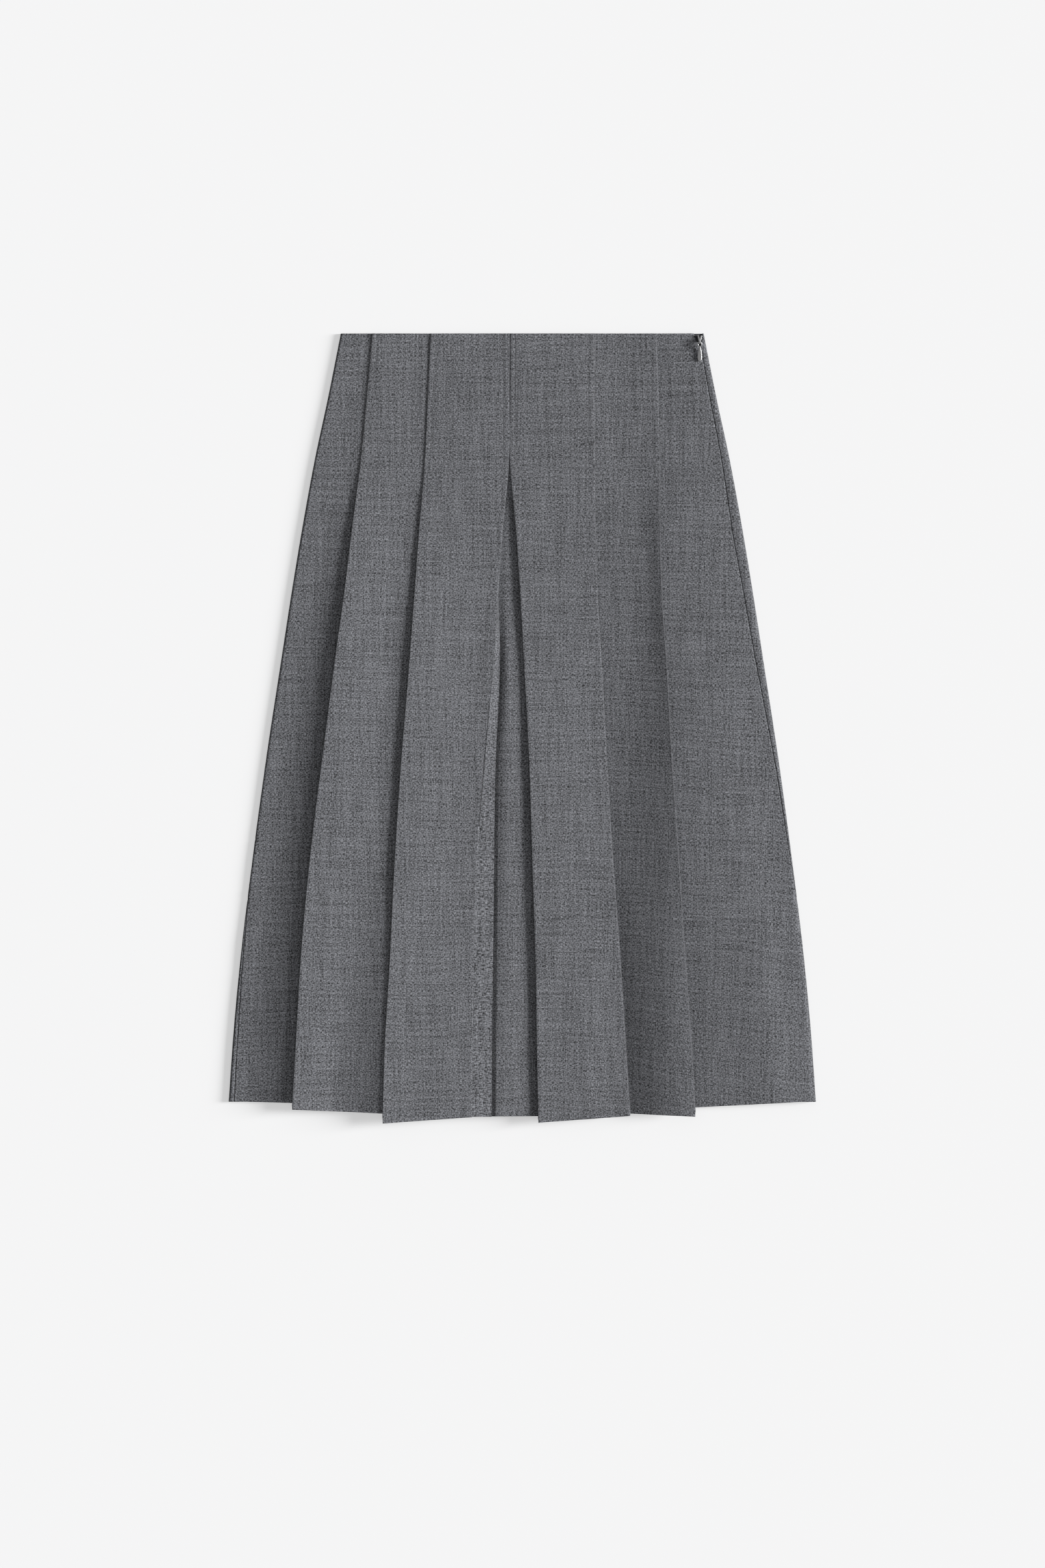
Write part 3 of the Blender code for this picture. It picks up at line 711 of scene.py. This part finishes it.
def melange_weave_group():
    """Plain-weave melange cloth: lengthwise and crosswise threads that each vary in tone along their length,
    with short flecks of light and dark fibre. It puts out a tone around one and the threads' height."""
    tree = bpy.data.node_groups.new("melange_weave", "ShaderNodeTree")
    socket(tree, "NodeSocketVector", "Threads", (0, 0, 0))
    for name, default in (
        ("Thread Pitch", 0.00052), ("Streak Length", 0.05), ("Streaks", 0.9), ("Flecks", 2.9),
        ("Wander", 0.4), ("Bands", 0.15), ("Band Threads", 6.0), ("Band Length", 0.13),
        ("Fleck Threads", 4.0),
    ):
        socket(tree, "NodeSocketFloat", name, default)
    socket(tree, "NodeSocketFloat", "Tone", output=True)
    socket(tree, "NodeSocketFloat", "Height", output=True)
    given = tree.nodes.new("NodeGroupInput").outputs
    split = add_node(tree, "ShaderNodeSeparateXYZ", {0: given["Threads"]})
    along, down = split.outputs[0], split.outputs[1]

    def work_out(operation, *values):
        return math_node(tree, operation, *values)

    def noise(first, second):
        join = add_node(tree, "ShaderNodeCombineXYZ", {0: first, 1: second})
        inputs = {"Scale": 1.0, "Detail": 1.0, "Vector": join.outputs[0]}
        made = add_node(tree, "ShaderNodeTexNoise", inputs, noise_dimensions="2D")
        return work_out("SUBTRACT", made.outputs["Fac"], 0.5)

    slow = [work_out("MULTIPLY", value, WANDER_SCALE) for value in (along, down)]
    counts = []
    for value, own, other in ((along, *slow), (down, *reversed(slow))):
        stray = noise(own, work_out("MULTIPLY", other, WANDER_STRETCH))
        stray = work_out("MULTIPLY", stray, given["Wander"])
        thread = work_out("DIVIDE", value, given["Thread Pitch"])
        counts.append(work_out("MULTIPLY_ADD", stray, WANDER_THREADS, thread))
    # Two threads that lie side by side share their streaks.
    pairs = [work_out("FLOOR", work_out("MULTIPLY", count, 0.5)) for count in counts]
    streaks, bands, flecks = [], [], []
    for pair, run, shift in zip(pairs, (down, along), STREAK_SHIFTS):
        place = work_out("DIVIDE", run, given["Streak Length"])
        streaks.append(noise(work_out("MULTIPLY_ADD", pair, TONE_STEP, shift), place))
    for count, run, shift in zip(counts, (down, along), BAND_SHIFTS):
        place = work_out("DIVIDE", run, given["Band Length"])
        band = work_out("DIVIDE", count, given["Band Threads"])
        bands.append(noise(work_out("ADD", band, shift), place))
    for over, under, shift in zip(counts, reversed(counts), FLECK_SHIFTS):
        place = work_out("DIVIDE", under, given["Fleck Threads"])
        flecks.append(noise(work_out("MULTIPLY_ADD", over, FLECK_WIDTH, shift), place))
    streaks = work_out("MULTIPLY", work_out("ADD", *streaks), given["Streaks"])
    bands = work_out("MULTIPLY", work_out("ADD", *bands), given["Bands"])
    flecks = work_out("MULTIPLY", work_out("ADD", *flecks), given["Flecks"])
    tone = work_out("ADD", work_out("ADD", work_out("ADD", streaks, bands), flecks), 1.0)
    waves = [work_out("SINE", work_out("MULTIPLY", count, math.pi)) for count in counts]
    height = work_out("MULTIPLY_ADD", work_out("MULTIPLY", *waves), 0.5, 0.5)
    add_node(tree, "NodeGroupOutput", {"Tone": work_out("MAXIMUM", tone, DARKEST_TONE), "Height": height})
    return tree


melange_weave = melange_weave_group()


def plain_material(name, values):
    """A new material with these values on its shader's own sockets, and its nodes and its shader."""
    material = bpy.data.materials.new(name)
    material.use_nodes = True
    tree = material.node_tree
    shader = tree.nodes["Principled BSDF"]
    set_inputs(tree, shader, values)
    return material, tree, shader


def add_bump(tree, shader, height, strength, distance):
    """Fine relief on a material, from a height that changes over it."""
    inputs = {"Strength": strength, "Distance": distance, "Height": height}
    bump = add_node(tree, "ShaderNodeBump", inputs)
    set_inputs(tree, shader, {"Normal": bump.outputs["Normal"]})


def wool_material(name, color, **weave_values):
    """Melange wool suiting, or woven tape, with a soft matt face."""
    values = {
        "Roughness": 0.88, "Specular IOR Level": 0.25, "Sheen Weight": 0.12, "Sheen Roughness": 0.45,
    }
    material, tree, shader = plain_material(name, values)
    threads = add_node(tree, "ShaderNodeUVMap", uv_map="weave")
    inputs = {"Threads": threads.outputs["UV"], **weave_values}
    weave = add_node(tree, "ShaderNodeGroup", inputs, node_tree=melange_weave)
    # Painted shade: the colour is darkened where the cloth lies steeply, as at its folded edges, by the
    # attribute made with the shell.
    painted_fold_shade = add_node(tree, "ShaderNodeAttribute", attribute_name="painted_fold_shade")
    flat = math_node(tree, "MULTIPLY_ADD", painted_fold_shade.outputs["Fac"], -FOLD_SHADE_DEPTH, 1.0)
    tone = math_node(tree, "MULTIPLY", weave.outputs["Tone"], flat)
    inputs = {"Factor": 1.0, "A": (*color, 1.0), "B": tone}
    shade = add_node(tree, "ShaderNodeMix", inputs, data_type="RGBA", blend_type="MULTIPLY")
    set_inputs(tree, shader, {"Base Color": shade.outputs["Result"]})
    add_bump(tree, shader, weave.outputs["Height"], strength=0.35, distance=0.0002)
    return material


WOOL_TONE = (0.118, 0.1205, 0.1305)

wool_suiting = wool_material("wool_suiting", WOOL_TONE)
front = cloth_shell("front_cloth", front_line, FRONT_WAVES, wool_suiting)
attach(front, "skirt")
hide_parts("front_panel")


def stitches_group():
    """Stitches along a path: a small loop of thread at each step, turned along the path."""
    tree = bpy.data.node_groups.new("stitches", "GeometryNodeTree")
    socket(tree, "NodeSocketGeometry", "Path")
    for name, default in (("Pitch", 0.0026), ("Length", 0.0021), ("Thickness", 0.0003)):
        socket(tree, "NodeSocketFloat", name, default)
    socket(tree, "NodeSocketVector", "Turn", (0, 0, 0))
    socket(tree, "NodeSocketMaterial", "Material")
    socket(tree, "NodeSocketGeometry", "Stitches", output=True)
    given = tree.nodes.new("NodeGroupInput").outputs
    path = add_node(tree, "GeometryNodeMeshToCurve", {"Mesh": given["Path"]})
    inputs = {"Curve": path.outputs["Curve"], "Length": given["Pitch"]}
    even = add_node(tree, "GeometryNodeResampleCurve", inputs, mode="LENGTH")
    loop = add_node(tree, "GeometryNodeMeshUVSphere", {"Segments": 6, "Rings": 4, "Radius": 0.5})
    inputs = {"X": given["Length"], "Y": given["Thickness"], "Z": given["Thickness"]}
    size = add_node(tree, "ShaderNodeCombineXYZ", inputs)
    inputs = {"Geometry": loop.outputs["Mesh"], "Scale": size.outputs["Vector"]}
    shaped = add_node(tree, "GeometryNodeTransform", inputs)
    tangent = add_node(tree, "GeometryNodeInputTangent")
    inputs = {"Vector": tangent.outputs["Tangent"]}
    turned = add_node(tree, "FunctionNodeAlignRotationToVector", inputs, axis="X")
    own = add_node(tree, "FunctionNodeEulerToRotation", {"Euler": given["Turn"]})
    inputs = {"Rotation": turned.outputs["Rotation"], "Rotate By": own.outputs["Rotation"]}
    both = add_node(tree, "FunctionNodeRotateRotation", inputs, rotation_space="LOCAL")
    inputs = {
        "Points": even.outputs["Curve"],
        "Instance": shaped.outputs["Geometry"],
        "Rotation": both.outputs["Rotation"],
    }
    placed = add_node(tree, "GeometryNodeInstanceOnPoints", inputs)
    real = add_node(tree, "GeometryNodeRealizeInstances", {"Geometry": placed.outputs["Instances"]})
    inputs = {"Geometry": real.outputs["Geometry"], "Material": given["Material"]}
    coloured = add_node(tree, "GeometryNodeSetMaterial", inputs)
    add_node(tree, "NodeGroupOutput", {"Stitches": coloured.outputs["Geometry"]})
    return tree


stitches_nodes = stitches_group()


def stitched(name, paths, material, **settings):
    """One piece made of the stitches along some paths, given in millimetres."""
    points = [point for path in paths for point in path]
    edges = []
    first = 0
    for path in paths:
        edges += [(first + step, first + step + 1) for step in range(len(path) - 1)]
        first += len(path)
    guide_data = bpy.data.meshes.new(name + "_path")
    guide_data.from_pydata([[value * MM for value in point] for point in points], edges, [])
    guide = add_to_scene(name + "_path", guide_data)
    nodes = guide.modifiers.new("stitches", "NODES")
    nodes.node_group = stitches_nodes
    values = {"Material": material, **settings}
    for item in stitches_nodes.interface.items_tree:
        if item.in_out == "INPUT" and item.name in values:
            nodes[item.identifier] = values[item.name]
    evaluated = guide.evaluated_get(bpy.context.evaluated_depsgraph_get())
    data = bpy.data.meshes.new_from_object(evaluated)
    data.name = name
    data.shade_smooth()
    bpy.data.objects.remove(guide)
    bpy.data.meshes.remove(guide_data)
    return add_to_scene(name, data)


# The topstitching holds each pleat down from the waist, a little way in from its folded edge, and a short
# row across the edge ends each knife pleat's line.
STITCH_START = 1.2
STITCH_STEP = 2.0
STITCH_RISE = 0.06
TACK_START = 0.8
TACK_STEP = 0.8
# The scale of the thread's twist.
TWIST_SCALE = 2600.0
THREAD_TONE = (0.116, 0.118, 0.128)


def on_panel(fold, inset, down):
    """A point on the top face of a pleat's upper panel, this far in from its folded edge."""
    faces = FOLDS[fold][0]
    left_panel, right_panel = panels_beside(fold)
    name = left_panel if faces == RIGHT else right_panel
    shape = table_at(SHAPE_COLUMNS, SHAPE, down)
    across = shape[fold] - faces * inset
    level, hem = panel_point(name, across, down, shape, profiles_at(down))
    level += wave_height(FRONT_WAVES, across, down) + CLOTH / 2 + STITCH_RISE
    return across, LENGTH / 2 - down * hem / LENGTH, level


stitch_rows = []
for fold, end in STITCH_ENDS.items():
    downs = np.arange(STITCH_START, end, STITCH_STEP)
    stitch_rows.append([on_panel(fold, STITCH_INSET, down) for down in downs])
    if fold in TACKED:
        insets = np.arange(TACK_START, STITCH_INSET + TACK_STEP / 2, TACK_STEP)
        stitch_rows.append([on_panel(fold, inset, end) for inset in insets])


def thread_material(name, color):
    """Spun sewing thread, or the drawn plastic of a zip's coil, with a slight sheen and a fine twist."""
    values = {"Base Color": (*color, 1.0), "Roughness": 0.55, "Sheen Weight": 0.1}
    material, tree, shader = plain_material(name, values)
    place = add_node(tree, "ShaderNodeTexCoord")
    inputs = {"Scale": TWIST_SCALE, "Vector": place.outputs["Object"]}
    twist = add_node(tree, "ShaderNodeTexWave", inputs, bands_direction="DIAGONAL")
    add_bump(tree, shader, twist.outputs["Fac"], strength=0.4, distance=0.00003)
    return material


grey_thread = thread_material("grey_thread", THREAD_TONE)
topstitching = stitched("topstitching", stitch_rows, grey_thread)
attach(topstitching, "skirt")

# ------------------------------------------------------------
# The back. A plain flared piece of the same cloth, which lies underneath and wraps round both side folds to
# its seams with the front.
# ------------------------------------------------------------
# How many steps of points cross its flat part, and its own soft waves.
BACK_STEPS = 60
BACK_WAVES = (
    (-120, 180, -150, 700, 18, 0.3),
    (60, 240, 90, 761, 20, 0.35),
    (150, 420, 180, 761, 14, 0.3),
    (-30, 420, -40, 761, 16, 0.3),
)


def back_line(down):
    """The middle of the back's cloth at one level, from the left side seam, underneath, to the right one."""
    shape = table_at(SHAPE_COLUMNS, SHAPE, down)
    seams = seams_at(down)
    sides = []
    for side, name, end, seam in (
        (LEFT, "side_left", "start", "left"), (RIGHT, "side_right", "end", "right_back"),
    ):
        height = table_at(PROFILE_COLUMNS, PROFILES[name], down)[end]
        start = roll_distance(height, seams[seam]) - SEAM_GAP / 2
        reach = roll_distance(height, -ROLL_WIDTH)
        sides.append(roll(side, shape["half_width"], height, start, reach))
    left, right = sides
    right.reverse()
    line = left
    start, end = left[-1], right[0]
    for step in range(1, BACK_STEPS):
        share = step / BACK_STEPS
        across = start[0] + (end[0] - start[0]) * share
        line.append((across, BACK_LEVEL, SIDE_HEM, across))
    return line + right


back = cloth_shell("back_cloth", back_line, BACK_WAVES, wool_suiting)
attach(back, "skirt")
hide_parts("back_panel")

# ------------------------------------------------------------
# The invisible zip. A pair of woven tapes is sewn behind the right side seam, with a coil of drawn plastic
# along its middle, which closes the opening below the slider.
# ------------------------------------------------------------
TAPE_START = 0.6
TAPE_LENGTH = 200.0
TAPE_LEVEL = 2.1
# How far in from the seam the left tape reaches, and how far from the skirt's edge the right one ends.
TAPE_REACH = 11.0
TAPE_CLEARANCE = 2.6
TAPE_GAP = 0.35
TAPE_ROWS = 80
TAPE_COLUMNS = 6
TAPE_RIB = 0.06
# How thick the tape is beside the skirt's cloth, at its edges and between them.
TAPE_EDGE = 0.4
TAPE_BODY = 0.9
TAPE_TONE = (0.040, 0.041, 0.045)
SLIDER_ACROSS = 171.1
# The zip's middle leaves the slider's line here and runs into the seam's over this distance.
MIDDLE_START = 8.0
MIDDLE_RUN = 40.0
COIL_LEVEL = 2.5
COIL_START = 9.0
COIL_END = 196.0
COIL_STEP = 2.0
COIL_TONE = (0.045, 0.046, 0.05)


def tape_middle(down):
    """How far across the middle of the zip lies."""
    seam = table_at(SHAPE_COLUMNS, SHAPE, down)["half_width"] - seams_at(down)["right_front"]
    run = (down - MIDDLE_START) / MIDDLE_RUN
    return seam + (SLIDER_ACROSS - seam) * (1 - ease(0.0, 1.0, run))


def tape_half(name, side, material):
    """One woven tape, from the zip's middle out to its edge, with a raised rib beside the coil."""
    shares = np.arange(TAPE_COLUMNS + 1) / TAPE_COLUMNS
    downs = np.linspace(TAPE_START, TAPE_LENGTH, TAPE_ROWS)
    across = []
    for down in downs:
        half_width = table_at(SHAPE_COLUMNS, SHAPE, down)["half_width"]
        seams = seams_at(down)
        outer = half_width - TAPE_CLEARANCE
        if side == LEFT:
            outer = half_width - (seams["right_front"] + seams["right_back"]) / 2 - TAPE_REACH
        inner = tape_middle(down) + side * TAPE_GAP / 2
        across.append(inner + (outer - inner) * shares)
    half = np.full(shares.shape, CLOTH / 2 * TAPE_BODY)
    half[[0, -1]] = CLOTH / 2 * TAPE_EDGE
    top = TAPE_LEVEL + half
    top[1] += TAPE_RIB
    grids = []
    for level in (top, TAPE_LEVEL - half):
        grid = np.broadcast_arrays(across, LENGTH / 2 - downs[:, None], level)
        grids.append(np.stack(grid, axis=2)[:, ::side])
    threads = np.stack(np.broadcast_arrays(across, -downs[:, None]), axis=2)[:, ::side]
    return cloth_piece(name, *grids, threads, material)


zip_tape = wool_material("zip_tape", TAPE_TONE, Streaks=0.3, Flecks=0.8)
tape_pieces = [tape_half("zip_tape_left", LEFT, zip_tape), tape_half("zip_tape_right", RIGHT, zip_tape)]
for piece in tape_pieces:
    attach(piece, "skirt")
    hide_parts("zip_tape")
coil_plastic = thread_material("coil_plastic", COIL_TONE)
coil_downs = np.arange(COIL_START, COIL_END, COIL_STEP)
coil_path = [(tape_middle(down), LENGTH / 2 - down, COIL_LEVEL) for down in coil_downs]
coil = stitched(
    "zip_coil", [coil_path], coil_plastic,
    Pitch=0.0011, Length=0.0034, Thickness=0.0006, Turn=(0, 0, math.pi / 2),
)
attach(coil, "skirt")

# ------------------------------------------------------------
# The slider. A small die-cast wedge that parts the two edges at the top of the seam, with a crown over it
# that holds the pull's bar.
# ------------------------------------------------------------
SLIDER_BASE = 3.0
SLIDER_TOP = 4.6
# The wedge from above: how far across from its middle, and how far down.
SLIDER_OUTLINE = (
    (-1.0, 8.3), (1.0, 8.3), (1.5, 5.6), (2.0, 2.0), (1.0, 2.0), (-0.1, 4.9), (-1.2, 2.0), (-2.2, 2.0),
    (-1.6, 5.6),
)
SLIDER_BEVEL = 0.25
CROWN_WIDTH = 1.4
CROWN_BEVEL = 0.15
# The crown seen from the side, and the eye in it: how far down, and how high.
CROWN_OUTLINE = ((10.3, 4.6), (10.3, 6.7), (9.8, 7.2), (7.7, 7.2), (5.2, 4.4), (7.9, 4.4), (7.9, 4.6))
CROWN_EYE = ((8.2, 5.1), (8.2, 6.7), (9.8, 6.7), (9.8, 5.1))
# The metal turns a sharp edge where it bends by more than this many degrees.
SHARP_ANGLE = 35
# The plating's tone, how dark its cloudy patches are beside it, how fine they and the scratches are, and how
# many radians the scratches lean by.
METAL_TONE = (0.44, 0.44, 0.445)
CLOUD_SHADE = 0.9
CLOUD_SCALE = 420.0
SCRATCH_SCALE = (9000.0, 500.0, 9000.0)
SCRATCH_TURN = 0.2
# How rough the metal is, and how much the patches and the scratches add.
METAL_ROUGHNESS = 0.26
CLOUD_ROUGHNESS = 0.16
SCRATCH_ROUGHNESS = 0.1


def cut_plate(outlines, thick, bevel, smooth=False):
    """A flat plate from its outline and its holes, with rounded edges, ready to be put in its place."""
    curve = bpy.data.curves.new("plate", "CURVE")
    curve.dimensions = "2D"
    curve.fill_mode = "BOTH"
    curve.extrude = (thick / 2 - bevel) * MM
    curve.bevel_depth = bevel * MM
    curve.offset = -bevel * MM
    curve.bevel_resolution = 2
    curve.resolution_u = 5
    for outline in outlines:
        spline = curve.splines.new("BEZIER")
        spline.bezier_points.add(len(outline) - 1)
        spline.use_cyclic_u = True
        for point, (x, y) in zip(spline.bezier_points, outline):
            point.co = (x * MM, y * MM, 0)
            point.handle_left_type = point.handle_right_type = "AUTO" if smooth else "VECTOR"
    holder = add_to_scene("plate", curve)
    data = bpy.data.meshes.new_from_object(holder.evaluated_get(bpy.context.evaluated_depsgraph_get()))
    bpy.data.objects.remove(holder)
    bpy.data.curves.remove(curve)
    mesh = bmesh.new()
    mesh.from_mesh(data)
    bpy.data.meshes.remove(data)
    bmesh.ops.remove_doubles(mesh, verts=mesh.verts, dist=1e-6)
    return mesh


def metal_piece(name, meshes, material):
    """One piece from some closed meshes, with their faces pointing out."""
    data = bpy.data.meshes.new(name)
    whole = bmesh.new()
    for mesh in meshes:
        bmesh.ops.recalc_face_normals(mesh, faces=mesh.faces)
        mesh.to_mesh(data)
        mesh.free()
        whole.from_mesh(data)
    whole.to_mesh(data)
    whole.free()
    data.materials.clear()
    data.materials.append(material)
    for face in data.polygons:
        face.material_index = 0
    data.shade_smooth()
    data.set_sharp_from_angle(angle=math.radians(SHARP_ANGLE))
    return add_to_scene(name, data)


def metal_material(name, color):
    """Polished nickel-plated zinc, with fine scratches from use and a slightly cloudy plating."""
    material, tree, shader = plain_material(name, {"Metallic": 1.0})
    place = add_node(tree, "ShaderNodeTexCoord").outputs["Object"]
    inputs = {"Scale": CLOUD_SCALE, "Detail": 3.0, "Vector": place}
    cloud = add_node(tree, "ShaderNodeTexNoise", inputs).outputs["Fac"]
    inputs = {"Scale": SCRATCH_SCALE, "Rotation": (0.0, 0.0, SCRATCH_TURN), "Vector": place}
    stretch = add_node(tree, "ShaderNodeMapping", inputs)
    inputs = {"Scale": 1.0, "Detail": 2.0, "Vector": stretch.outputs["Vector"]}
    scratch = add_node(tree, "ShaderNodeTexNoise", inputs).outputs["Fac"]
    cloudy = [CLOUD_SHADE * value for value in color]
    inputs = {"A": (*cloudy, 1.0), "B": (*color, 1.0), "Factor": cloud}
    tint = add_node(tree, "ShaderNodeMix", inputs, data_type="RGBA")
    rough = math_node(tree, "MULTIPLY_ADD", cloud, CLOUD_ROUGHNESS, METAL_ROUGHNESS)
    rough = math_node(tree, "MULTIPLY_ADD", scratch, SCRATCH_ROUGHNESS, rough)
    set_inputs(tree, shader, {"Base Color": tint.outputs["Result"], "Roughness": rough})
    add_bump(tree, shader, scratch, strength=0.15, distance=0.00002)
    return material


zip_metal = metal_material("zip_metal", METAL_TONE)
wedge = cut_plate([SLIDER_OUTLINE], SLIDER_TOP - SLIDER_BASE, SLIDER_BEVEL)
for vertex in wedge.verts:
    x, y, z = vertex.co / MM
    vertex.co = Vector((SLIDER_ACROSS + x, LENGTH / 2 - y, (SLIDER_BASE + SLIDER_TOP) / 2 + z)) * MM
crown = cut_plate([CROWN_OUTLINE, CROWN_EYE], CROWN_WIDTH, CROWN_BEVEL)
for vertex in crown.verts:
    down, level, aside = vertex.co / MM
    vertex.co = Vector((SLIDER_ACROSS + aside, LENGTH / 2 - down, level)) * MM
slider = metal_piece("zip_slider_metal", [wedge, crown], zip_metal)
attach(slider, "skirt")
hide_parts("zip_slider")

# ------------------------------------------------------------
# The pull. A flat ring hangs on its bar in the crown's eye and runs through a neck into a drop-shaped tab,
# all die-cast in one.
# ------------------------------------------------------------
PIVOT_DOWN = 9.0
PIVOT_LEVEL = 5.9
PULL_THICK = 0.9
PULL_BEVEL = 0.3
# The tab sinks towards the cloth by this much, over this distance from its bar.
PULL_SAG = 1.8
SAG_LENGTH = 10.0
BAR_LENGTH = 3.0
BAR_SIDES = 16
# Half the pull's width and half its ring's opening at each distance along it.
PULL_OUTLINE = (
    (0.0, -0.45), (1.2, -0.35), (1.9, 0.3), (2.1, 1.4), (1.9, 2.7), (1.35, 3.75), (1.0, 4.6), (1.1, 5.8),
    (1.5, 8.0), (1.95, 11.5), (2.12, 14.0), (1.9, 16.0), (1.2, 17.5), (0.0, 18.1),
)
RING_OPENING = ((0.0, 0.45), (1.0, 0.6), (1.25, 1.5), (1.0, 2.8), (0.0, 3.6))


def mirrored(half):
    """A whole outline from its right half."""
    return list(half) + [(-x, y) for x, y in reversed(half) if x > 0]


tab = cut_plate([mirrored(PULL_OUTLINE), mirrored(RING_OPENING)], PULL_THICK, PULL_BEVEL, smooth=True)
for vertex in tab.verts:
    x, along, z = vertex.co / MM
    sag = PULL_SAG * min(max(along / SAG_LENGTH, 0.0), 1.0)
    vertex.co = Vector((SLIDER_ACROSS + x, LENGTH / 2 - PIVOT_DOWN - along, PIVOT_LEVEL + z - sag)) * MM
bar = bmesh.new()
bmesh.ops.create_cone(
    bar, cap_ends=True, segments=BAR_SIDES, radius1=PULL_THICK / 2 * MM, radius2=PULL_THICK / 2 * MM,
    depth=BAR_LENGTH * MM, matrix=Matrix.Rotation(math.pi / 2, 4, "Y"),
)
for vertex in bar.verts:
    vertex.co += Vector((SLIDER_ACROSS, LENGTH / 2 - PIVOT_DOWN, PIVOT_LEVEL)) * MM
pull = metal_piece("zip_pull_metal", [tab, bar], zip_metal)
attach(pull, "pull_tab")
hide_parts("zip_pull")

# ------------------------------------------------------------
# The floor, a plain pale sheet that glows softly, and the studio light: a low soft light from the right and
# pale walls.
# ------------------------------------------------------------
# The floor is in metres: how far it reaches each way, and how far below the skirt it lies.
FLOOR_REACH = 60.0
FLOOR_DROP = 0.0002
WALLS_STRENGTH = 0.35
# The light, with its angles in degrees: the way it comes from, its height, how wide it is and its strength.
LIGHT_AZIMUTH = 5.0
LIGHT_ELEVATION = 13.0
LIGHT_SPREAD = 16.0
LIGHT_STRENGTH = 9.9

floor_data = bpy.data.meshes.new("floor")
corners = [(x * FLOOR_REACH, y * FLOOR_REACH, -FLOOR_DROP) for x, y in ((-1, -1), (1, -1), (1, 1), (-1, 1))]
floor_data.from_pydata(corners, [], [(0, 1, 2, 3)])
floor = add_to_scene("floor", floor_data)
paper, _, _ = plain_material("floor_paper", {
    "Base Color": (0.43, 0.43, 0.433, 1.0),
    "Emission Color": (1.0, 1.0, 1.0, 1.0),
    "Emission Strength": 0.455,
    "Roughness": 0.9,
    "Specular IOR Level": 0.1,
})
floor_data.materials.append(paper)

world = bpy.data.worlds.new("studio")
bpy.context.scene.world = world
world.use_nodes = True
walls = {"Color": (1.0, 1.0, 1.0, 1.0), "Strength": WALLS_STRENGTH}
set_inputs(world.node_tree, world.node_tree.nodes["Background"], walls)

light_data = bpy.data.lights.new("key", "SUN")
light_data.angle = math.radians(LIGHT_SPREAD)
light_data.energy = LIGHT_STRENGTH
light = add_to_scene("key", light_data)
azimuth = math.radians(LIGHT_AZIMUTH)
elevation = math.radians(LIGHT_ELEVATION)
toward = Vector((
    math.cos(elevation) * math.cos(azimuth), math.cos(elevation) * math.sin(azimuth), math.sin(elevation),
))
light.rotation_euler = toward.to_track_quat("Z", "Y").to_euler()
